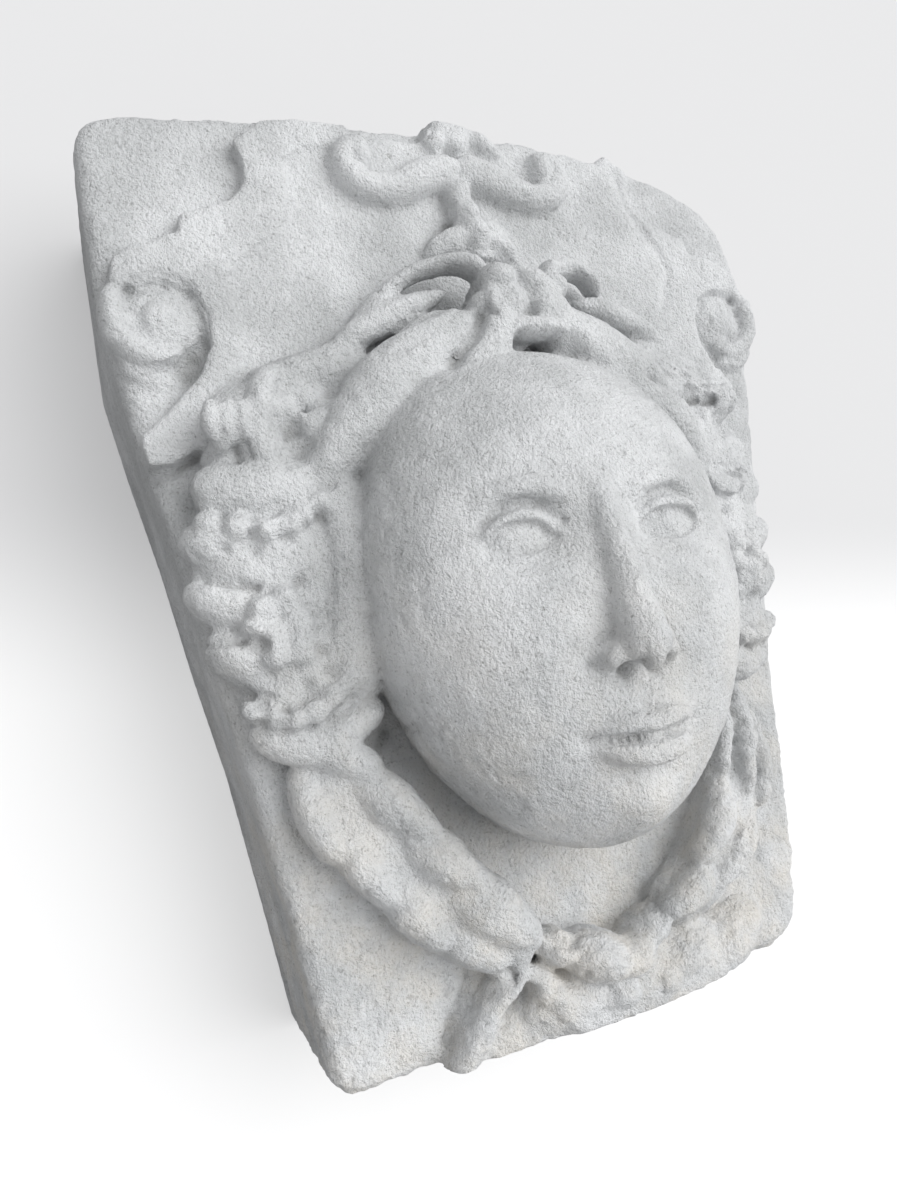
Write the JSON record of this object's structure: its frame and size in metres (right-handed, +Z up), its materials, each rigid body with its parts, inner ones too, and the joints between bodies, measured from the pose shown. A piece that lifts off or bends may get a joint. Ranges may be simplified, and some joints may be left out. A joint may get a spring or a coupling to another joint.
{
  "type": "keystone mascaron",
  "caption": "Carved limestone keystone with a woman's mask under a ribbon diadem, between beaded hair bundles and knotted braids",
  "frame": {"origin": "middle of the flat back face, where the stone is bonded into the wall", "axes": "+X to the viewer's right, +Y into the wall, away from the viewer, +Z up the stone, its longest side"},
  "size_m": [0.452, 0.2649, 0.565],
  "materials": {
    "stone": "coarse speckled grey limestone, weathered, with dark patina and ochre stains"
  },
  "bodies": {
    "root": {"keystone_mascaron": "stone"}
  },
  "joints": []
}
